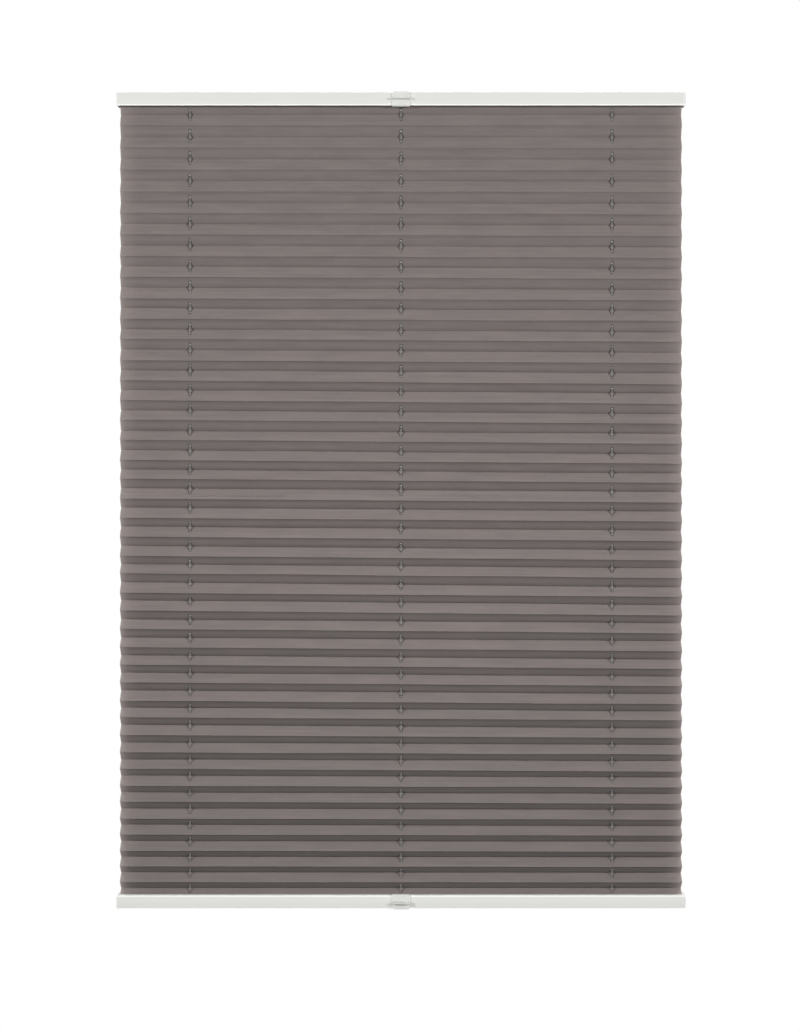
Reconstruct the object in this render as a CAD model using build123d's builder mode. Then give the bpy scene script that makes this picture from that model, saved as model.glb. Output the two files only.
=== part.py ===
"""Pleated blind: a zigzag fabric between two sliding rails, on three tensioned cords.

Frame: X runs along the rails, Y from front to back, Z up. The origin is at the middle of
the upper fixing plane, where the three top shoes are screwed on. The blind hangs below it,
drawn out to its full drop. Each end of the blind is built the same way, so a height is
given as a depth h, measured from that end's fixing plane into the blind.
"""

import os
from math import sqrt

from build123d import *

# ---------------------------------------------------------------- driving dimensions (mm)

fixing_drop = 1294.0  # upper fixing plane to lower fixing plane
rail_length = 900.0  # over the end caps

# Aluminium rail, the same extrusion at the top and at the bottom.
rail_depth = 24.0
rail_height = 20.5
rail_wall = 1.2
rail_crown = 0.6  # how far the front wall swells out between its edges
rail_edge_radius = 1.0
rail_rim_radius = 0.5  # at the edges on the fixing side
rail_gap = 2.1  # from the fixing plane to the rail's outer edge
channel_depth = 10.4  # outer channel, where the shoes nest
slot_width = 10.0  # between the lips, where the fabric comes out

# End caps
cap_thickness = 4.5
cap_plug_length = 10.0
cap_edge_radius = 1.6
cap_clearance = 0.1

# Cords
cord_diameter = 1.3
cord_inset = 115.0  # from the rail's end to an outer cord
cord_end_stub = 0.5  # cord showing past its ferrule

# Pleated fabric
facet_length = 20.0
fabric_thickness = 0.4
pleat_opening = 0.75  # height of a middle pleat, as a share of its two facets laid flat
pitch_spread = 0.19  # the top pleats are this share taller, and the bottom ones shorter
top_exit = 12.1  # from the top rail down to the first fold at the back
bottom_exit = 7.5  # from the last fold at the back down to the bottom rail
flap_front = -3.0  # where the fabric turns back inside a rail
flap_rear = 8.0  # the fabric's edge inside a rail
fabric_side_clearance = 0.3
fabric_hole_diameter = 3.0

# Strip that holds the fabric's edge in a rail
strip_side_gap = 2.3  # from the strip to the rail's walls
strip_thickness = 1.5
strip_end_clearance = 2.0
fabric_seat = 1.0  # room for the fabric between the strip and the lips

# Cord guides in the rail's web
guide_length = 24.0
guide_width = 12.0
guide_hole_diameter = 1.9
nose_diameter = 7.0
nose_clearance = 0.1
nose_proud = 0.5  # past the web, into the outer channel

# Shoes, screwed to the window frame through two round standoffs
shoe_length = 34.0
shoe_recess = 0.4  # how far a shoe's body stays inside its rail
shoe_side_gap = 0.9  # from a shoe to a handle's hook
shoe_web_gap = 1.0  # from a shoe to the rail's web
shoe_corner_radius = 2.0
standoff_diameter = 6.0
screw_spacing = 22.0
screw_hole_diameter = 3.4
screw_head_diameter = 6.6
pocket_diameter = 6.5
top_pocket_depth = 7.0
bottom_pocket_floor = 1.6

# Ferrules crimped on the cords' ends
ferrule_diameter = 5.5
ferrule_height = 3.6
ferrule_fit = 0.03  # radial, on the cord
ferrule_recess = 3.0  # from the lower fixing plane to a bottom ferrule

# Tension springs in the bottom shoes
spring_diameter = 5.3
spring_wire = 0.5
spring_turns = 3
spring_clearance = 0.1  # at each end

# Clip-on handles
handle_width = 28.0
handle_clearance = 0.2
handle_plate = 1.6
handle_proud = 1.7  # past the rail's outer edge
handle_corner_radius = 4.0
hook_thickness = 1.2
hook_depth = 4.5
toe_length = 2.8
toe_thickness = 1.5
toe_bevel = 0.8
tongue_reach = 8.6  # how far the finger tongue stands in front of the plate
tongue_place = 9.6  # from the rail's outer edge to the tongue's middle
tongue_root = 3.4
tongue_tip = 2.2
tongue_edge_radius = 0.8
tongue_corner_radius = 4.0

# ---------------------------------------------------------------- derived sizes

ENDS = ("top", "bottom")

body_length = rail_length - 2 * cap_thickness
inner_edge = rail_gap + rail_height
web_outer = rail_gap + channel_depth
web_inner = web_outer + rail_wall
lip_inner = inner_edge - rail_wall
strip_face = lip_inner - fabric_seat
strip_back = strip_face - strip_thickness
inside_width = rail_depth - 2 * rail_wall
strip_width = inside_width - 2 * strip_side_gap
shoe_start = rail_gap + shoe_recess
shoe_end = web_outer - shoe_web_gap
shoe_width = inside_width - 2 * (handle_clearance + hook_thickness + shoe_side_gap)
bottom_pocket_depth = shoe_end - bottom_pocket_floor
mean_pitch = 2 * facet_length * pleat_opening
cord_places = {
    "left": -(rail_length / 2 - cord_inset),
    "middle": 0.0,
    "right": rail_length / 2 - cord_inset,
}
cord_radius = cord_diameter / 2


def level(end, h):
    """Height Z of a point h inside the blind from an end's fixing plane."""
    return -h if end == "top" else h - fixing_drop


def inward(end, h, x=0.0):
    """Level plane at depth h from an end's fixing plane, facing into the blind."""
    facing = -1 if end == "top" else 1
    return Plane(origin=(x, 0, level(end, h)), x_dir=(1, 0, 0), z_dir=(0, 0, facing))


def save(builder, label):
    """Names a finished piece and writes its STEP file."""
    builder.part.label = label
    export_step(builder.part, f"parts/{label}.step")


os.makedirs("parts", exist_ok=True)

# ---------------------------------------------------------------- rails


def rail_outline(end):
    """Corners of a rail's section from its front outer edge round the back to its front inner
    edge, and the foremost point of its crowned front."""
    half = rail_depth / 2
    outer, inner = level(end, rail_gap), level(end, inner_edge)
    corners = [(-half, outer), (half, outer), (half, inner), (-half, inner)]
    return corners, (-half - rail_crown, (outer + inner) / 2)


def band(end, start, stop, width):
    """Cuts a rectangle out of a rail's section, from depth start to depth stop."""
    with Locations((0, (level(end, start) + level(end, stop)) / 2)):
        Rectangle(width, stop - start, mode=Mode.SUBTRACT)


def make_rail(end):
    """Extrusion with an outer channel, a web, an inner chamber and a slot between two lips."""
    corners, crown = rail_outline(end)
    with BuildPart() as rail:
        with BuildSketch(Plane.YZ):
            with BuildLine():
                Polyline(*corners)
                ThreePointArc(corners[-1], crown, corners[0])
            make_face()
            for h, radius in ((inner_edge, rail_edge_radius), (rail_gap, rail_rim_radius)):
                edge = [v for v in vertices() if abs(v.Y - level(end, h)) < radius / 2]
                fillet(edge, radius=radius)
            band(end, rail_gap, web_outer, inside_width)
            band(end, web_inner, lip_inner, inside_width)
            band(end, lip_inner, inner_edge, slot_width)
        extrude(amount=body_length / 2, both=True)
        for x in cord_places.values():
            with BuildSketch(inward(end, web_inner, x)):
                Circle(nose_diameter / 2 + nose_clearance)
            extrude(amount=-rail_wall, mode=Mode.SUBTRACT)
    save(rail, f"{end}_rail")


def make_end_cap(end, side):
    """Moulded plate over a rail's end, with a plug for the channel and one for the chamber."""
    corners, crown = rail_outline(end)
    sign = -1 if side == "left" else 1
    inner_face = Plane.YZ.offset(sign * body_length / 2)
    channel_plug = (rail_gap, web_outer - cap_clearance)
    chamber_plug = (web_inner + cap_clearance, strip_back - cap_clearance)
    with BuildPart() as cap:
        with BuildSketch(inner_face):
            with BuildLine():
                Polyline(*corners)
                ThreePointArc(corners[-1], crown, corners[0])
            make_face()
        extrude(amount=sign * cap_thickness)
        outer_face = cap.faces().sort_by(Axis.X)[-1 if sign > 0 else 0]
        fillet(outer_face.edges(), radius=cap_edge_radius)
        for start, stop in (channel_plug, chamber_plug):
            with BuildSketch(inner_face):
                with Locations((0, (level(end, start) + level(end, stop)) / 2)):
                    Rectangle(inside_width - 2 * cap_clearance, stop - start)
            extrude(amount=-sign * cap_plug_length)
    save(cap, f"{end}_{side}_end_cap")


def make_strip(end):
    """Flat strip inside a rail, which holds the fabric's edge over the lips."""
    with BuildPart() as strip:
        with BuildSketch(inward(end, strip_back)):
            Rectangle(body_length - 2 * strip_end_clearance, strip_width)
        extrude(amount=strip_thickness)
        for x in cord_places.values():
            with BuildSketch(inward(end, strip_back, x)):
                Circle(fabric_hole_diameter / 2)
            extrude(amount=strip_thickness, mode=Mode.SUBTRACT)
    save(strip, f"{end}_fabric_strip")


# ---------------------------------------------------------------- handles


def make_handle(end):
    """Clear clip that hooks round a rail's front wall, with a tongue for the fingers."""
    front = -rail_depth / 2 - rail_crown - handle_clearance
    plate = front - handle_plate
    tip = plate - tongue_reach
    top = rail_gap - handle_proud
    hook_front = -rail_depth / 2 + rail_wall + handle_clearance
    hook_rear = hook_front + hook_thickness
    hook_seat = rail_gap - handle_clearance
    toe_seat = inner_edge + handle_clearance
    bottom = toe_seat + toe_thickness
    tongue = rail_gap + tongue_place

    def at(y, h):
        return (y, level(end, h))

    with BuildPart() as handle:
        with BuildSketch(Plane.YZ):
            with BuildLine():
                Polyline(
                    at(plate, top + toe_bevel),
                    at(plate + toe_bevel, top),
                    at(hook_rear, top),
                    at(hook_rear, rail_gap + hook_depth),
                    at(hook_front, rail_gap + hook_depth),
                    at(hook_front, hook_seat),
                    at(front, hook_seat),
                    at(front, toe_seat),
                    at(front + toe_length, toe_seat),
                    at(front + toe_length, bottom),
                    at(plate + toe_bevel, bottom),
                    at(plate, bottom - toe_bevel),
                    at(plate, tongue + tongue_root / 2),
                    at(tip, tongue + tongue_tip / 2),
                    at(tip, tongue - tongue_tip / 2),
                    at(plate, tongue - tongue_root / 2),
                    close=True,
                )
            make_face()
            fillet([v for v in vertices() if v.X < tip + tongue_edge_radius], tongue_edge_radius)
        extrude(amount=handle_width / 2, both=True)
        with BuildSketch(Plane.XZ) as face:
            with Locations((0, (level(end, top) + level(end, bottom)) / 2)):
                Rectangle(handle_width, bottom - top)
            outer_corners = [
                v for v in face.vertices() if abs(v.Y - level(end, top)) < handle_plate
            ]
            fillet(outer_corners, radius=handle_corner_radius)
        extrude(amount=2 * rail_depth, both=True, mode=Mode.INTERSECT)
        with BuildSketch(Plane.XY) as plan:
            with Locations((0, (tip + hook_rear) / 2)):
                Rectangle(handle_width, hook_rear - tip)
            tongue_corners = [v for v in plan.vertices() if v.Y < plate]
            fillet(tongue_corners, radius=tongue_corner_radius)
        extrude(amount=fixing_drop, both=True, mode=Mode.INTERSECT)
    save(handle, f"{end}_handle")


# ---------------------------------------------------------------- cord guides, shoes, cords


def make_guide(end, place, x):
    """Bush that leads a cord through a rail, with its nose in the rail's web."""
    with BuildPart() as guide:
        with BuildSketch(inward(end, web_inner, x)):
            RectangleRounded(guide_length, guide_width, shoe_corner_radius)
        extrude(amount=strip_back - web_inner)
        with BuildSketch(inward(end, web_inner, x)):
            Circle(nose_diameter / 2)
        extrude(amount=-(rail_wall + nose_proud))
        with BuildSketch(inward(end, strip_back, x)):
            Circle(guide_hole_diameter / 2)
        extrude(amount=-(strip_back - web_outer + nose_proud), mode=Mode.SUBTRACT)
    save(guide, f"{end}_{place}_cord_guide")


def make_shoe(end, place, x):
    """Shoe on two screwed standoffs, nested in the rail, with a pocket for the ferrule."""
    pocket_depth = top_pocket_depth if end == "top" else bottom_pocket_depth
    with BuildPart() as shoe:
        with BuildSketch(inward(end, shoe_start, x)):
            RectangleRounded(shoe_length, shoe_width, shoe_corner_radius)
        extrude(amount=shoe_end - shoe_start)
        with BuildSketch(inward(end, 0, x)):
            with GridLocations(screw_spacing, 0, 2, 1):
                Circle(standoff_diameter / 2)
        extrude(amount=shoe_start)
        with Locations(inward(end, shoe_end, x)):
            with GridLocations(screw_spacing, 0, 2, 1):
                CounterSinkHole(screw_hole_diameter / 2, screw_head_diameter / 2)
            Hole(guide_hole_diameter / 2)
        with BuildSketch(inward(end, shoe_start, x)):
            Circle(pocket_diameter / 2)
        extrude(amount=pocket_depth - shoe_start, mode=Mode.SUBTRACT)
    save(shoe, f"{end}_{place}_shoe")


def ferrule_seat(end):
    """Depth of a ferrule's outer face from the fixing plane."""
    return top_pocket_depth - ferrule_height if end == "top" else ferrule_recess


def make_ferrule(end, place, x):
    """Sleeve crimped on a cord's end."""
    with BuildPart() as ferrule:
        with BuildSketch(inward(end, ferrule_seat(end), x)):
            Circle(ferrule_diameter / 2)
            Circle(cord_radius + ferrule_fit, mode=Mode.SUBTRACT)
        extrude(amount=ferrule_height)
    save(ferrule, f"{end}_{place}_ferrule")


def make_spring(place, x):
    """Compression spring between a bottom shoe's pocket floor and its ferrule."""
    start = ferrule_seat("bottom") + ferrule_height + spring_clearance + spring_wire / 2
    stop = bottom_pocket_depth - spring_clearance - spring_wire / 2
    coil_radius = (spring_diameter - spring_wire) / 2
    with BuildPart() as spring:
        with BuildLine():
            coil = Helix(
                pitch=(stop - start) / spring_turns,
                height=stop - start,
                radius=coil_radius,
                center=(x, 0, level("bottom", start)),
            )
        with BuildSketch(Plane(origin=coil @ 0, z_dir=coil % 0)):
            Circle(spring_wire / 2)
        sweep(path=coil, is_frenet=True)
    save(spring, f"{place}_tension_spring")


def make_cord(place, x):
    """Cord from the top ferrule, down through both rails, to the bottom ferrule."""
    start = ferrule_seat("top") - cord_end_stub
    stop = ferrule_seat("bottom") - cord_end_stub
    with BuildPart() as cord:
        with BuildSketch(inward("top", start, x)):
            Circle(cord_radius)
        extrude(amount=fixing_drop - start - stop)
    save(cord, f"{place}_cord")


# ---------------------------------------------------------------- pleated fabric


def fold_points():
    """The fabric's line in section: a flap in the top rail, the folds, a flap in the bottom."""
    flap = (lip_inner + strip_face) / 2
    first = level("top", inner_edge + top_exit)
    last = level("bottom", inner_edge + bottom_exit)
    pleats = round((first - last) / mean_pitch)
    pitch = (first - last) / pleats
    points = [(flap_rear, level("top", flap)), (flap_front, level("top", flap))]
    for k in range(2 * pleats + 1):
        u = k / 2
        z = first - pitch * (u * (1 + pitch_spread) - pitch_spread * u * u / pleats)
        half_pitch = pitch * (1 + pitch_spread - 2 * pitch_spread * u / pleats) / 2
        depth = sqrt(facet_length**2 - half_pitch**2)
        points.append((depth / 2 if k % 2 == 0 else -depth / 2, z))
    points += [(flap_front, level("bottom", flap)), (flap_rear, level("bottom", flap))]
    return [Vector(y, z) for y, z in points]


def ribbon_side(points, distance):
    """The points of a line moved sideways by a distance, with mitred corners."""
    runs = [(b - a).normalized() for a, b in zip(points, points[1:])]
    moved = []
    for point, before, after in zip(points, [runs[0], *runs], [*runs, runs[-1]]):
        across_before = Vector(-before.Y, before.X)
        across_after = Vector(-after.Y, after.X)
        mitre = (across_before + across_after).normalized()
        moved.append(point + mitre * (distance / mitre.dot(across_before)))
    return moved


def make_fabric():
    """Pleated sheet, folded back inside each rail, with a row of holes for each cord."""
    line = fold_points()
    half = fabric_thickness / 2
    outline = ribbon_side(line, half) + ribbon_side(line, -half)[::-1]
    with BuildPart() as fabric:
        with BuildSketch(Plane.YZ):
            with BuildLine():
                Polyline(*[(p.X, p.Y) for p in outline], close=True)
            make_face()
        extrude(amount=body_length / 2 - fabric_side_clearance, both=True)
        for x in cord_places.values():
            with BuildSketch(inward("top", web_outer, x)):
                Circle(fabric_hole_diameter / 2)
            extrude(amount=fixing_drop - 2 * web_outer, mode=Mode.SUBTRACT)
    save(fabric, "pleated_fabric")


# ---------------------------------------------------------------- the whole blind

for end in ENDS:
    make_rail(end)
    make_strip(end)
    make_handle(end)
    for side in ("left", "right"):
        make_end_cap(end, side)
    for place, x in cord_places.items():
        make_guide(end, place, x)
        make_shoe(end, place, x)
        make_ferrule(end, place, x)

for place, x in cord_places.items():
    make_spring(place, x)
    make_cord(place, x)

make_fabric()
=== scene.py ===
"""The looks of a pleated blind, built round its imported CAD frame.

Metres, +Z up; the front faces -Y.
"""

import math

import bmesh
import bpy
import numpy as np
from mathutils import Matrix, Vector


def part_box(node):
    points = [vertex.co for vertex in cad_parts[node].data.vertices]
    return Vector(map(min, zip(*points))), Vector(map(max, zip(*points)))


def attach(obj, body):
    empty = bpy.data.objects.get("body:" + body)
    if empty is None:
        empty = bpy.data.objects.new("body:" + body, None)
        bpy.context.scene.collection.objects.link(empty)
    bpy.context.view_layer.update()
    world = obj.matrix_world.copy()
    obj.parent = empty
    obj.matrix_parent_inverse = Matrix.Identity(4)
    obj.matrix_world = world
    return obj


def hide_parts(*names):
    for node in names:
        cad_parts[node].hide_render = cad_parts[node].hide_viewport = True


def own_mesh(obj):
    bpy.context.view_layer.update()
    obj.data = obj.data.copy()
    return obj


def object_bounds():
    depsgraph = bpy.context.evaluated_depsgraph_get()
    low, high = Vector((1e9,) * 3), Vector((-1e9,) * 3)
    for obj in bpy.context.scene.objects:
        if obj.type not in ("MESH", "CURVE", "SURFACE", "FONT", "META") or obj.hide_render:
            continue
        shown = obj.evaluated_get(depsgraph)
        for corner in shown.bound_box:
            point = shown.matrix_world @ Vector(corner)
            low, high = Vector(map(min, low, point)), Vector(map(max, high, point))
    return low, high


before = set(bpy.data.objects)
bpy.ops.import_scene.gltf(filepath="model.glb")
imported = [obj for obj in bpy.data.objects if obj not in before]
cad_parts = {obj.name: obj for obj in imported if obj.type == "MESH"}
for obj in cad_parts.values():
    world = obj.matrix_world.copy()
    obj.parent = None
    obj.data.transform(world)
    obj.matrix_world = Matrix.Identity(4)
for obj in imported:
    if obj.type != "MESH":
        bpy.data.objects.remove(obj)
cad_low, cad_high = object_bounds()

MM = 0.001
PLACES = ("left", "middle", "right")

# ---------------------------------------------------------------- camera

SENSOR = 36.0  # millimetres
CAMERA_DISTANCE = 3.10  # in front of the rails' front faces
CAMERA_RISE = 0.086  # above the blind's middle
PICTURE_HEIGHT = 1.630  # what the picture spans at the rails' front faces
PICTURE_DROP = 0.1099  # from the camera's height down to the picture's middle, at those faces
CAMERA_SIDE = -0.0016  # to the left of the blind's middle


def make_camera():
    """Level camera in front of the blind, shifted down, as the photographer framed it."""
    top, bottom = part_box("top_rail"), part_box("bottom_rail")
    data = bpy.data.cameras.new("camera")
    data.sensor_width = SENSOR
    data.lens = SENSOR * CAMERA_DISTANCE / PICTURE_HEIGHT
    data.shift_y = -PICTURE_DROP / PICTURE_HEIGHT
    camera = bpy.data.objects.new("camera", data)
    bpy.context.scene.collection.objects.link(camera)
    middle = (top[1].z + bottom[0].z) / 2
    camera.location = (CAMERA_SIDE, top[0].y - CAMERA_DISTANCE, middle + CAMERA_RISE)
    camera.rotation_euler = (math.pi / 2, 0, 0)
    bpy.context.scene.camera = camera


# ---------------------------------------------------------------- lights and floor

# Two small key lamps in front, far to the sides, and two large soft ones behind.
LAMP_AIM = -0.8  # height that all four point at
LAMP_SPREAD = 80.0  # degrees
KEY_SIDE = 3.2
KEY_FRONT = 3.1
KEY_HEIGHT = 0.35
KEY_SIZE = 0.15
KEY_POWER = 29.5
BACK_SIDE = 2.6
BACK_FAR = 3.2
BACK_HEIGHT = 1.4
BACK_SIZE = 1.2
BACK_POWER = 24.0

# Faint light from all round, stronger off the studio's floor.
FROM_ABOVE = 0.01
FROM_BELOW = 0.15
LEVEL_BAND = 0.3  # sine of the angle above and below level where one turns into the other
SKY_WHITE = (1, 1, 1)
SKY_LIGHT = (1, 0.985, 0.975)

FLOOR_DROP = 1.2  # below the blind, so that the floor lies under the picture's edge
FLOOR_SIZE = 6.4
FLOOR_GLOW = 0.55
FLOOR_COLOR = (0.6, 0.6, 0.59)
FLOOR_ROUGHNESS = 0.9


def make_world():
    """White surroundings: full white to the camera, and much fainter as a source of light."""
    world = bpy.data.worlds.new("studio")
    bpy.context.scene.world = world
    world.use_nodes = True
    nodes, links = world.node_tree.nodes, world.node_tree.links
    nodes.clear()
    seen = nodes.new("ShaderNodeBackground")
    light = nodes.new("ShaderNodeBackground")
    way = nodes.new("ShaderNodeTexCoord")
    split = nodes.new("ShaderNodeSeparateXYZ")
    slope = nodes.new("ShaderNodeMapRange")
    mix = nodes.new("ShaderNodeMixShader")
    path = nodes.new("ShaderNodeLightPath")
    out = nodes.new("ShaderNodeOutputWorld")
    seen.inputs["Color"].default_value = (*SKY_WHITE, 1)
    light.inputs["Color"].default_value = (*SKY_LIGHT, 1)
    slope.inputs["From Min"].default_value = -LEVEL_BAND
    slope.inputs["From Max"].default_value = LEVEL_BAND
    slope.inputs["To Min"].default_value = FROM_BELOW
    slope.inputs["To Max"].default_value = FROM_ABOVE
    links.new(way.outputs["Generated"], split.inputs[0])
    links.new(split.outputs["Z"], slope.inputs["Value"])
    links.new(slope.outputs["Result"], light.inputs["Strength"])
    links.new(path.outputs["Is Camera Ray"], mix.inputs["Fac"])
    links.new(light.outputs[0], mix.inputs[1])
    links.new(seen.outputs[0], mix.inputs[2])
    links.new(mix.outputs[0], out.inputs["Surface"])


def make_lamp(name, place, size, power):
    """Round lamp that points at the blind."""
    data = bpy.data.lights.new(name, "AREA")
    data.shape = "DISK"
    data.size = size
    data.spread = math.radians(LAMP_SPREAD)
    data.energy = power
    lamp = bpy.data.objects.new(name, data)
    bpy.context.scene.collection.objects.link(lamp)
    lamp.location = place
    aim = Vector((0, 0, LAMP_AIM)) - lamp.location
    lamp.rotation_euler = aim.to_track_quat("-Z", "Y").to_euler()


def make_floor():
    """Plain pale floor under the hanging blind."""
    z = cad_low.z - FLOOR_DROP
    half = FLOOR_SIZE / 2
    corners = [(-half, -half, z), (half, -half, z), (half, half, z), (-half, half, z)]
    mesh = bpy.data.meshes.new("floor")
    mesh.from_pydata(corners, [], [(0, 1, 2, 3)])
    floor = bpy.data.objects.new("floor", mesh)
    bpy.context.scene.collection.objects.link(floor)
    material = bpy.data.materials.new("floor")
    material.use_nodes = True
    shader = material.node_tree.nodes["Principled BSDF"]
    shader.inputs["Base Color"].default_value = (*FLOOR_COLOR, 1)
    shader.inputs["Roughness"].default_value = FLOOR_ROUGHNESS
    shader.inputs["Emission Color"].default_value = (*SKY_WHITE, 1)
    shader.inputs["Emission Strength"].default_value = FLOOR_GLOW
    mesh.materials.append(material)
    floor.visible_diffuse = False  # its glow stays off the blind


# ---------------------------------------------------------------- materials


class Shader:
    """A Principled material with short calls for its procedural nodes.

    Object coordinates are places in the scene at rest, in metres.
    """

    def __init__(self, name, color, roughness, **sockets):
        self.material = bpy.data.materials.new(name)
        self.material.use_nodes = True
        self.nodes = self.material.node_tree.nodes
        self.links = self.material.node_tree.links
        self.shader = self.nodes["Principled BSDF"]
        self.color = color
        self.shader.inputs["Base Color"].default_value = (*color, 1)
        self.shader.inputs["Roughness"].default_value = roughness
        for socket, value in sockets.items():
            self.shader.inputs[socket.replace("_", " ")].default_value = value

    def coordinates(self, output="Object", scale=(1, 1, 1)):
        source = self.nodes.new("ShaderNodeTexCoord")
        mapping = self.nodes.new("ShaderNodeMapping")
        mapping.inputs["Scale"].default_value = scale
        self.links.new(source.outputs[output], mapping.inputs["Vector"])
        return mapping.outputs["Vector"]

    def noise(self, vector, scale, detail=3.0, roughness=0.5):
        node = self.nodes.new("ShaderNodeTexNoise")
        node.inputs["Scale"].default_value = scale
        node.inputs["Detail"].default_value = detail
        node.inputs["Roughness"].default_value = roughness
        self.links.new(vector, node.inputs["Vector"])
        return node.outputs["Fac"]

    def wave(self, vector, scale, direction, distortion=0.0):
        node = self.nodes.new("ShaderNodeTexWave")
        node.bands_direction = direction
        node.inputs["Scale"].default_value = scale
        node.inputs["Distortion"].default_value = distortion
        self.links.new(vector, node.inputs["Vector"])
        return node.outputs["Fac"]

    def math(self, operation, *values):
        node = self.nodes.new("ShaderNodeMath")
        node.operation = operation
        for socket, value in zip(node.inputs, values):
            if isinstance(value, (int, float)):
                socket.default_value = value
            else:
                self.links.new(value, socket)
        return node.outputs[0]

    def ramp(self, value, low, high, start=0.3, stop=0.7):
        """Colour from low to high as value goes from start to stop."""
        node = self.nodes.new("ShaderNodeValToRGB")
        node.color_ramp.elements[0].position = start
        node.color_ramp.elements[0].color = (*low, 1)
        node.color_ramp.elements[1].position = stop
        node.color_ramp.elements[1].color = (*high, 1)
        self.links.new(value, node.inputs["Fac"])
        return node.outputs["Color"]

    def tint(self, value, spread, start=0.3, stop=0.7):
        """Base colour that varies by a share either way with value."""
        low = [c * (1 - spread) for c in self.color]
        high = [min(1, c * (1 + spread)) for c in self.color]
        self.links.new(self.ramp(value, low, high, start, stop), self.shader.inputs["Base Color"])

    def roughness(self, value, low, high):
        node = self.nodes.new("ShaderNodeMapRange")
        node.inputs["To Min"].default_value = low
        node.inputs["To Max"].default_value = high
        self.links.new(value, node.inputs["Value"])
        self.links.new(node.outputs["Result"], self.shader.inputs["Roughness"])

    def bump(self, value, depth, strength=1.0):
        node = self.nodes.new("ShaderNodeBump")
        node.inputs["Distance"].default_value = depth
        node.inputs["Strength"].default_value = strength
        self.links.new(value, node.inputs["Height"])
        self.links.new(node.outputs["Normal"], self.shader.inputs["Normal"])


HIGHLIGHT_BAND = 2.6 * MM  # height of the painted highlight along a rail's edge
HIGHLIGHT_COLOR = (0.93, 0.94, 0.905)
STRANDS = 8.0  # round a cord
STRAND_LAY = 1900.0  # radians that they wind in a metre


def mix_over(m, factor, color):
    """Lays a colour over the base colour so far."""
    mix = m.nodes.new("ShaderNodeMix")
    mix.data_type = "RGBA"
    m.links.new(factor, mix.inputs["Factor"])
    m.links.new(m.shader.inputs["Base Color"].links[0].from_socket, mix.inputs["A"])
    mix.inputs["B"].default_value = (*color, 1)
    m.links.new(mix.outputs["Result"], m.shader.inputs["Base Color"])


def painted_edge_highlight(m, place):
    """Painted highlight: a paler line along the edge where the fabric leaves a rail, over the
    colour so far.
    """
    split = m.nodes.new("ShaderNodeSeparateXYZ")
    m.links.new(place, split.inputs[0])
    edges = (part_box("top_rail")[0].z + HIGHLIGHT_BAND / 2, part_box("bottom_rail")[1].z - HIGHLIGHT_BAND / 2)
    away = [m.math("ABSOLUTE", m.math("SUBTRACT", split.outputs["Z"], edge)) for edge in edges]
    mix_over(m, m.math("LESS_THAN", m.math("MINIMUM", *away), HIGHLIGHT_BAND / 2), HIGHLIGHT_COLOR)


def powder_coat():
    """Satin white powder coat with its faint orange peel."""
    m = Shader("powder_coat", (0.745, 0.755, 0.722), 0.42)
    place = m.coordinates()
    peel = m.noise(place, 700, detail=2)
    m.tint(m.noise(place, 6, detail=4), 0.012)
    painted_edge_highlight(m, place)
    m.roughness(m.noise(place, 90), 0.38, 0.48)
    m.bump(peel, 0.04 * MM, 0.6)
    return m.material


def cap_plastic():
    """White moulded plastic with a fine spark-eroded grain."""
    m = Shader("cap_plastic", (0.765, 0.775, 0.745), 0.5)
    place = m.coordinates()
    m.tint(m.noise(place, 40), 0.015)
    painted_edge_highlight(m, place)
    m.roughness(m.noise(place, 300), 0.45, 0.55)
    m.bump(m.noise(place, 3500, detail=1), 0.03 * MM, 0.7)
    return m.material


def clear_plastic():
    """Clear moulded plastic of the handles, a little milky."""
    m = Shader("clear_plastic", (0.93, 0.94, 0.91), 0.2, Alpha=0.42, IOR=1.49, Coat_Weight=0.3)
    place = m.coordinates()
    m.tint(m.noise(place, 60), 0.02)
    m.roughness(m.noise(place, 400), 0.16, 0.26)
    m.bump(m.noise(place, 900, detail=1), 0.01 * MM, 0.4)
    return m.material


def moulded_plastic(name, color, grain):
    """Plain moulded plastic of an inner piece."""
    m = Shader(name, color, 0.5)
    place = m.coordinates()
    m.tint(m.noise(place, 80), 0.03)
    m.roughness(m.noise(place, 500), 0.4, 0.6)
    m.bump(m.noise(place, grain, detail=2), 0.03 * MM, 0.6)
    return m.material


def metal(name, color, low, high):
    """Bare metal with fine drawing marks along the cords' direction."""
    m = Shader(name, color, 0.35, Metallic=1.0)
    along = m.coordinates(scale=(1, 1, 0.05))
    marks = m.noise(along, 5000, detail=3)
    m.tint(marks, 0.06)
    m.roughness(marks, low, high)
    m.bump(marks, 0.01 * MM, 0.4)
    return m.material


def braid():
    """Grey braided polyester cord: strands that cross as they wind round it."""
    m = Shader("braid", (0.21, 0.214, 0.198), 0.75, Sheen_Weight=0.25, Sheen_Roughness=0.5)
    geometry = m.nodes.new("ShaderNodeNewGeometry")
    normal = m.nodes.new("ShaderNodeSeparateXYZ")
    place = m.nodes.new("ShaderNodeSeparateXYZ")
    m.links.new(geometry.outputs["Normal"], normal.inputs[0])
    m.links.new(geometry.outputs["Position"], place.inputs[0])
    around = m.math("ARCTAN2", normal.outputs["Y"], normal.outputs["X"])
    angle = m.math("MULTIPLY", around, STRANDS / 2)
    rise = m.math("MULTIPLY", place.outputs["Z"], STRAND_LAY)
    one = m.math("SINE", m.math("ADD", angle, rise))
    other = m.math("SINE", m.math("SUBTRACT", angle, rise))
    weave = m.math("MULTIPLY_ADD", m.math("MAXIMUM", one, other), 0.5, 0.5)
    m.tint(weave, 0.16, 0.2, 0.9)
    m.bump(weave, 0.12 * MM, 0.9)
    return m.material


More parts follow.
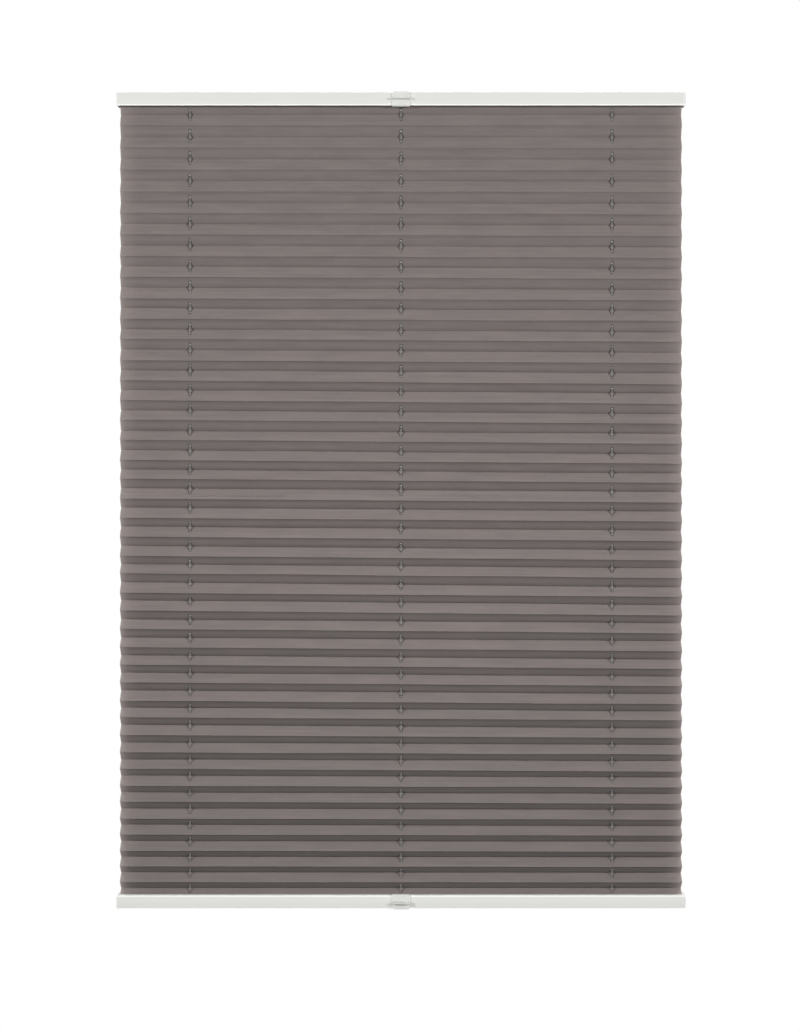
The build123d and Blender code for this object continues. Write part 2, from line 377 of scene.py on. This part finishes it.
CLOTH_DARK = (0.174, 0.151, 0.145)
CLOTH_LIGHT = (0.238, 0.204, 0.195)
CLOTH_SIDE_LIGHT = (0.365, 0.315, 0.302)  # painted light, paler at the sheet's side edges
# painted shade in the pleats' folds
CLOTH_CREASE_SHADE = (0.07, 0.06, 0.057)
CLOTH_SHADE = (0.03, 0.026, 0.025)  # painted shade at the punched holes' rims, and the cords' painted shadows
SHADOW_SLOPE = 0.9  # how far a painted shadow is from its cord, as a share of its depth behind it
SHADOW_WIDTH = 1.3 * MM
SHADOW_STRENGTH = 0.75
RIM = "rim"  # mesh attribute: 1 at the rim of a punched hole, 0 where its patch ends
RIM_SHADE = (0.5, 0.75)  # rim shares where the painted shade at a hole's rim starts, and where it is full
SIDE_LIGHT_FADE = 9 * MM  # how far the painted light reaches in from a side edge
WARP_THREADS = 320  # scales of the weave
WEFT_THREADS = 260
WEAVE_SHARE = 0.2  # of the weave in the cloth's tone, the rest being slubs and patches

# The pleats' shading, painted over the weave: its strength at the top of the sheet and how much
# it grows downwards. The places go along a pleat, from its fold at the back (0) past the one at
# the front (0.5) to the next at the back (1), with how light the cloth is there.
CREASE_START = 0.18
CREASE_GROWTH = 1.45
CREASES = (
    (0.0, 0.55), (0.03, 0.88), (0.10, 0.94), (0.47, 0.94), (0.499, 0.96), (0.502, 0.35),
    (0.55, 0.58), (0.62, 0.74), (0.72, 0.78), (0.84, 0.78), (0.93, 0.62), (1.0, 0.38),
)


def pleat_shading(m, down, length):
    """Paints shade at the folds, most of all under the front ones and low on the blind."""
    pleat = m.math("FRACT", m.math("DIVIDE", down, 2 * FACET))
    fold_lightness = m.nodes.new("ShaderNodeValToRGB")
    m.links.new(pleat, fold_lightness.inputs["Fac"])
    stops = fold_lightness.color_ramp.elements
    while len(stops) < len(CREASES):
        stops.new(1.0)
    for stop, (place, shade) in zip(stops, CREASES):
        stop.position = place
        stop.color = (shade, shade, shade, 1)
    strength = m.math("MULTIPLY_ADD", down, CREASE_GROWTH / length, CREASE_START)
    crease = m.math("MULTIPLY", m.math("SUBTRACT", 1, fold_lightness.outputs["Color"]), strength)
    mix_over(m, crease, CLOTH_CREASE_SHADE)


def painted_side_light(m, across):
    """Paints light on the cloth, paler towards the sheet's side edges."""
    low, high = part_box("pleated_fabric")
    inset = m.math("SUBTRACT", (high.x - low.x) / 2, m.math("ABSOLUTE", across))
    mix_over(m, m.math("EXPONENT", m.math("DIVIDE", inset, -SIDE_LIGHT_FADE)), CLOTH_SIDE_LIGHT)


def painted_hole_shade(m):
    """Paints shade at the rims of the punched holes."""
    rim = m.nodes.new("ShaderNodeAttribute")
    rim.attribute_name = RIM
    near = m.nodes.new("ShaderNodeMapRange")
    near.interpolation_type = "SMOOTHSTEP"
    near.inputs["From Min"].default_value = RIM_SHADE[0]
    near.inputs["From Max"].default_value = RIM_SHADE[1]
    m.links.new(rim.outputs["Fac"], near.inputs["Value"])
    mix_over(m, near.outputs["Result"], CLOTH_SHADE)


def painted_cord_shadows(m, cords):
    """Paints the cords' shadows: dark lines beside each cord, about where a key lamp casts its
    shadow.
    """
    place = m.nodes.new("ShaderNodeSeparateXYZ")
    m.links.new(m.coordinates(), place.inputs[0])
    reach = m.math("MULTIPLY", place.outputs["Y"], SHADOW_SLOPE)
    closeness = []
    for x in cords:
        off = m.math("ABSOLUTE", m.math("SUBTRACT", place.outputs["X"], x))
        line = m.math("ABSOLUTE", m.math("SUBTRACT", off, reach))
        closeness.append(m.math("SUBTRACT", 1, m.math("DIVIDE", line, SHADOW_WIDTH)))
    shadow_line = m.math("MAXIMUM", m.math("MAXIMUM", closeness[0], closeness[1]), closeness[2])
    behind = m.math("GREATER_THAN", place.outputs["Y"], 0)
    strength = m.math("MULTIPLY", m.math("MAXIMUM", shadow_line, 0), behind)
    mix_over(m, m.math("MULTIPLY", strength, SHADOW_STRENGTH), CLOTH_SHADE)


def pleat_cloth(length, cords):
    """Taupe polyester weave with slubs along the threads that run across the blind.

    Its UV coordinates lie on the flat sheet: metres across it, and metres down it.
    """
    m = Shader("pleat_cloth", CLOTH_LIGHT, 0.85, Sheen_Weight=0.18, Sheen_Roughness=0.4)
    m.shader.inputs["Specular IOR Level"].default_value = 0.25
    threads = m.coordinates("UV")
    warp = m.wave(threads, WARP_THREADS, "X")
    weft = m.wave(threads, WEFT_THREADS, "Y", distortion=0.6)
    slub = m.noise(m.coordinates("UV", scale=(4, 380, 1)), 1.0, detail=4, roughness=0.6)
    patch = m.noise(m.coordinates("UV", scale=(14, 60, 1)), 1.0, detail=5, roughness=0.65)
    weave = m.math("MULTIPLY", warp, weft)
    tone = m.math("ADD", m.math("MULTIPLY", slub, 0.5), m.math("MULTIPLY", patch, 0.5))
    fine = m.math(
        "ADD", m.math("MULTIPLY", tone, 1 - WEAVE_SHARE), m.math("MULTIPLY", weave, WEAVE_SHARE)
    )
    m.links.new(m.ramp(fine, CLOTH_DARK, CLOTH_LIGHT, 0.34, 0.62), m.shader.inputs["Base Color"])
    split = m.nodes.new("ShaderNodeSeparateXYZ")
    m.links.new(threads, split.inputs[0])
    pleat_shading(m, split.outputs["Y"], length)
    painted_side_light(m, split.outputs["X"])
    painted_hole_shade(m)
    painted_cord_shadows(m, cords)
    m.roughness(slub, 0.78, 0.92)
    m.bump(m.math("ADD", weave, m.math("MULTIPLY", slub, 0.6)), 0.06 * MM, 0.7)
    return m.material


def finish_cad_nodes():
    """Gives each shown CAD node the material of what it is made of."""
    rail = powder_coat()
    cap = cap_plastic()
    handle = clear_plastic()
    cord = braid()
    strip = moulded_plastic("strip_plastic", (0.72, 0.72, 0.70), 1500)
    guide = moulded_plastic("guide_plastic", (0.78, 0.78, 0.76), 2500)
    shoe = moulded_plastic("shoe_plastic", (0.84, 0.84, 0.82), 2000)
    ferrule = metal("ferrule_metal", (0.72, 0.72, 0.70), 0.25, 0.45)
    spring = metal("spring_steel", (0.55, 0.56, 0.57), 0.2, 0.35)
    endings = {
        "rail": rail, "end_cap": cap, "handle": handle, "_cord": cord, "strip": strip,
        "guide": guide, "shoe": shoe, "ferrule": ferrule, "spring": spring,
    }
    for name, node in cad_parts.items():
        for ending, material in endings.items():
            if name.endswith(ending):
                node.data.materials.clear()
                node.data.materials.append(material)


# ---------------------------------------------------------------- pleated fabric

CLOTH_THICKNESS = 0.35 * MM
CAD_THICKNESS = 0.4 * MM
FACET = 20 * MM
TOP_EXIT = 12.1 * MM  # from the top rail down to the first fold at the back
BOTTOM_EXIT = 7.5 * MM  # from the last fold at the back down to the bottom rail
PITCH_SPREAD = 0.19  # the top pleats are this share taller, and the bottom ones shorter
MEAN_PITCH = 30 * MM
FLAP_FRONT = -4.6 * MM  # where the cloth turns back inside a rail
FLAP_REAR = 8 * MM  # the cloth's edge inside a rail
CREASE_PINCH = 0.20  # how much flatter than its middle a lower facet runs into its folds
DROOP = 0.30  # how much an upper facet steepens towards the fold at the front
LEAN = 7.0 * MM  # how far the folds fall to the right, half way down
WOBBLE = 0.45 * MM  # how unevenly the folds hang
WAVES = 2.5  # half waves of a fold, from the blind's middle to its side
SEED = 7

HOLE_REACH = 0.95 * MM  # half a punched hole, across and from front to back
RING = 16  # points round a hole's rim
CELLS = 4  # of the mesh along each side of the patch of cloth that holds a hole
PATCH = 3.6 * MM  # half of that side, where the folds leave room for it
PATCH_LINES = (-1, -0.5, 0, 0.5, 1)  # where the mesh's lines cross it
PATCH_ROOM = 0.85  # share of the way to a fold that it may reach
HOLE_ROOM = 0.85  # share of the way to the patch's edge that a hole may reach
COLUMN = 24 * MM  # width of the mesh's columns elsewhere
COLUMN_ROOM = 1.6  # no other column line is nearer to a cord than this share of PATCH
FOLD_ROW = 0.5 * MM  # rows next to the folds keep them crisp
ROWS_BEFORE = (0.1, 0.22)  # other rows on a facet, before and after the patches
ROWS_AFTER = (0.78, 0.9)
ROW_ROOM = 0.02  # least share of a facet between a row and a patch
PATH_STEPS = 401  # along a facet, to find where the cords pass it


class Pleats:
    """The sheet's folds, with the small unevenness of a hanging blind."""

    def __init__(self):
        low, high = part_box("pleated_fabric")
        self.width = high.x - low.x
        flap_top, flap_bottom = high.z - CAD_THICKNESS / 2, low.z + CAD_THICKNESS / 2
        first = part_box("top_rail")[0].z - TOP_EXIT
        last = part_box("bottom_rail")[1].z + BOTTOM_EXIT
        self.pleats = round((first - last) / MEAN_PITCH)
        pitch = (first - last) / self.pleats
        u = np.arange(2 * self.pleats + 1) / 2
        self.share = np.concatenate([[0, 0], u / self.pleats, [1, 1]])
        fold_z = first - pitch * (u * (1 + PITCH_SPREAD) - PITCH_SPREAD * u * u / self.pleats)
        half_pitch = pitch * (1 + PITCH_SPREAD - 2 * PITCH_SPREAD * u / self.pleats) / 2
        depth = np.sqrt(FACET**2 - half_pitch**2) / 2
        depth[1::2] *= -1
        self.z = np.concatenate([[flap_top, flap_top], fold_z, [flap_bottom, flap_bottom]])
        self.y = np.concatenate([[FLAP_REAR, FLAP_FRONT], depth, [FLAP_FRONT, FLAP_REAR]])
        count = len(self.z)
        draw = np.random.RandomState(SEED)
        held = np.sin(np.pi * np.clip(self.share, 0, 1)) ** 0.5
        self.shift = draw.normal(0, WOBBLE, count) * held
        self.turn = draw.normal(0, WOBBLE, count) * held
        self.wave = draw.normal(0, WOBBLE / 2, count) * held
        self.phase = draw.uniform(0, 2 * np.pi, count)

    def fold(self, k, x):
        """Place (y, z) of fold k at x."""
        side = x / (self.width / 2)
        fall = -LEAN / 2 * math.sin(math.pi * self.share[k]) * side
        wave = self.wave[k] * np.sin(WAVES * math.pi * side + self.phase[k])
        return self.y[k] + 0 * x, self.z[k] + fall + self.shift[k] + self.turn[k] * side + wave

    def at(self, k, t, x):
        """Point a share t of the way from fold k to fold k + 1, at x."""
        y0, z0 = self.fold(k, x)
        y1, z1 = self.fold(k + 1, x)
        y, z = y0 + (y1 - y0) * self.bend(k, t), z0 + (z1 - z0) * t
        return np.stack([x + 0 * t, y, z], axis=-1)

    def bend(self, k, t):
        """Share of its depth that a facet has gone through at a share t of its height."""
        if k in (0, len(self.z) - 2):
            return t
        if self.y[k + 1] < self.y[k]:
            return t + DROOP * t * (1 - t)
        tau = 2 * t - 1
        return ((1 - CREASE_PINCH) * tau + CREASE_PINCH * tau**5 + 1) / 2

    def crossing(self, k):
        """Where facet k passes the cords, as a share of its height, and its slope there."""
        t = np.linspace(0, 1, PATH_STEPS)
        y = self.y[k] + (self.y[k + 1] - self.y[k]) * self.bend(k, t)
        here = int(np.argmin(abs(y)))
        ahead, behind = min(here + 1, PATH_STEPS - 1), max(here - 1, 0)
        return float(t[here]), abs(float((y[ahead] - y[behind]) / (t[ahead] - t[behind])))

    def length(self, k):
        """Straight distance from fold k to fold k + 1."""
        return math.hypot(self.y[k + 1] - self.y[k], self.z[k + 1] - self.z[k])


def column_places(width, cords):
    """Columns of the mesh across the sheet, closer together round the cord holes."""
    count = round(width / COLUMN)
    spread = np.linspace(-width / 2, width / 2, count + 1)
    away = [x for x in spread if min(abs(x - c) for c in cords) > COLUMN_ROOM * PATCH]
    near = [c + PATCH * f for c in cords for f in PATCH_LINES]
    return np.array(sorted(away + near))


def hole_place(pleats, k):
    """Where the cords cross a facet, as a share of it, and the half height of the patch there."""
    middle, _ = pleats.crossing(k)
    return middle, min(PATCH / pleats.length(k), PATCH_ROOM * middle, PATCH_ROOM * (1 - middle))


def row_shares(pleats, k):
    """Rows of the mesh between two folds, and the first row of the patches."""
    middle, half = hole_place(pleats, k)
    edge = FOLD_ROW / pleats.length(k)
    patch = [middle + half * f for f in PATCH_LINES]
    before = [t for t in (0, edge, *ROWS_BEFORE) if t < patch[0] - ROW_ROOM]
    after = [t for t in (*ROWS_AFTER, 1 - edge) if t > patch[-1] + ROW_ROOM]
    return np.array(before + patch + after), len(before)


def hole_ring(pleats, k, x):
    """Rim of a punched hole, starting nearest to the patch's first corner."""
    middle, half = hole_place(pleats, k)
    tall = min(HOLE_REACH / pleats.crossing(k)[1], HOLE_ROOM * half)
    angles = math.radians(225) + np.arange(RING) * 2 * math.pi / RING
    t = middle + np.sin(angles) * tall
    return [pleats.at(k, s, np.array(x + HOLE_REACH * c)) for s, c in zip(t, np.cos(angles))]


def patch_path(corner, step):
    """Vertices round a patch, from its first corner, in a mesh of step columns."""
    path = [corner + c for c in range(CELLS)]
    path += [corner + CELLS + step * r for r in range(CELLS)]
    path += [corner + CELLS * step + CELLS - c for c in range(CELLS)]
    path += [corner + step * (CELLS - r) for r in range(CELLS)]
    return path


def sheet_geometry(pleats, cords):
    """Vertices, faces, places on the flat sheet and rim shares, with the punched holes."""
    xs = column_places(pleats.width, cords)
    starts = [int(np.argmin(abs(xs - (c - PATCH)))) for c in cords]
    rows, patches = [], []
    for k in range(len(pleats.z) - 1):
        shares, first = row_shares(pleats, k)
        patches.append((len(rows) + first, k, (k + hole_place(pleats, k)[0]) * FACET))
        rows += [(k, t) for t in shares]
    rows.append((len(pleats.z) - 2, 1.0))
    verts = [p for k, t in rows for p in pleats.at(k, np.full(len(xs), t), xs)]
    cloth = [(x, (k + t) * FACET) for k, t in rows for x in xs]
    rims = [0.0] * len(verts)
    step = len(xs)
    cells = [(i, j) for i in range(CELLS) for j in range(CELLS)]
    punched = {(p + i, s + j) for p, *_ in patches for s in starts for i, j in cells}
    faces = []
    for r in range(len(rows) - 1):
        for j in range(step - 1):
            if (r, j) not in punched:
                a = r * step + j
                faces.append((a, a + 1, a + step + 1, a + step))
    for p, k, middle in patches:
        for s, x in zip(starts, cords):
            path, rim = patch_path(p * step + s, step), len(verts)
            verts += hole_ring(pleats, k, x)
            cloth += [(x, middle)] * RING
            rims += [1.0] * RING
            for n in range(RING):
                after = (n + 1) % RING
                faces.append((path[n], path[after], rim + after, rim + n))
    return verts, faces, cloth, rims


def whole_sheet(pleats, cords):
    """Mesh of the whole sheet, without its thickness."""
    verts, faces, flat_places, rims = sheet_geometry(pleats, cords)
    sheet = bpy.data.meshes.new("whole_sheet")
    sheet.from_pydata([tuple(v) for v in verts], [], faces)
    layer = sheet.uv_layers.new(name="cloth")
    corner_verts = np.zeros(len(sheet.loops), np.int32)
    sheet.loops.foreach_get("vertex_index", corner_verts)
    layer.data.foreach_set("uv", np.array(flat_places, np.float32)[corner_verts].ravel())
    sheet.attributes.new(RIM, "FLOAT", "POINT").data.foreach_set("value", rims)
    sheet.polygons.foreach_set("use_smooth", [True] * len(sheet.polygons))
    punched_out = bmesh.new()
    punched_out.from_mesh(sheet)
    loose = [v for v in punched_out.verts if not v.link_faces]
    bmesh.ops.delete(punched_out, geom=loose, context="VERTS")
    punched_out.to_mesh(sheet)
    punched_out.free()
    return sheet


def sheet_between(name, source, cloth, low, high):
    """The part of the sheet between two heights, as a piece.

    The thickness goes into its mesh, since a squash has to come after it.
    """
    cut = bmesh.new()
    cut.from_mesh(source)
    for height, above in ((high, True), (low, False)):
        bmesh.ops.bisect_plane(
            cut, geom=cut.verts[:] + cut.edges[:] + cut.faces[:], plane_co=(0, 0, height),
            plane_no=(0, 0, 1), clear_outer=above, clear_inner=not above,
        )
    mesh = bpy.data.meshes.new(name)
    cut.to_mesh(mesh)
    cut.free()
    mesh.materials.append(cloth)
    piece = bpy.data.objects.new(name, mesh)
    bpy.context.scene.collection.objects.link(piece)
    thickness = piece.modifiers.new("thickness", "SOLIDIFY")
    thickness.thickness = CLOTH_THICKNESS
    thickness.offset = 0
    thickness.use_even_offset = True
    evaluated = piece.evaluated_get(bpy.context.evaluated_depsgraph_get())
    thick = bpy.data.meshes.new_from_object(evaluated)
    piece.modifiers.clear()
    piece.data = thick
    return piece


def make_fabric():
    """Pleated sheet: two stretches of pleats on the root, and a hem inside each rail, on the
    rail's body.
    """
    pleats = Pleats()
    cords = [sum(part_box(f"{place}_cord"), Vector()).x / 2 for place in PLACES]
    source = whole_sheet(pleats, cords)
    cloth = pleat_cloth(FACET * (len(pleats.z) - 1), cords)

    edge_top, edge_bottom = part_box("top_rail")[0].z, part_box("bottom_rail")[1].z
    facets = (pleats.z[2:-3] + pleats.z[3:-2]) / 2
    middle = float(facets[np.argmin(abs(facets - (edge_top + edge_bottom) / 2))])
    lengths = np.array([0] + [pleats.length(k) for k in range(len(pleats.z) - 1)]).cumsum()
    cuts = [float(np.interp(-z, -pleats.z, lengths)) for z in (edge_top, middle, edge_bottom)]
    flap_top, flap_bottom = cuts[0], float(lengths[-1]) - cuts[2]
    parts = (
        ("upper_pleats", "top_rail", middle, edge_top, cuts[1] - cuts[0]),
        ("lower_pleats", "bottom_rail", edge_bottom, middle, cuts[2] - cuts[1]),
        ("top_hem", "top_rail", edge_top, pleats.z[0] + FACET, flap_top),
        ("bottom_hem", "bottom_rail", pleats.z[-1] - FACET, edge_bottom, flap_bottom),
    )
    for name, rail, low, high, length in parts:
        piece = sheet_between(name, source, cloth, low, high)
        if name.endswith("pleats"):
            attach(piece, "root")
            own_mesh(piece)
        else:
            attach(piece, f"{rail}_body")
        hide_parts("pleated_fabric")
    bpy.data.meshes.remove(source)


# ---------------------------------------------------------------- the scene

make_camera()
make_world()
for way, side in (("left", -1), ("right", 1)):
    make_lamp(f"{way}_key", (side * KEY_SIDE, -KEY_FRONT, KEY_HEIGHT), KEY_SIZE, KEY_POWER)
    make_lamp(f"{way}_back", (side * BACK_SIDE, BACK_FAR, BACK_HEIGHT), BACK_SIZE, BACK_POWER)
make_floor()
finish_cad_nodes()
make_fabric()

bpy.context.scene.view_settings.view_transform = "Standard"
bpy.context.scene.view_settings.look = "None"
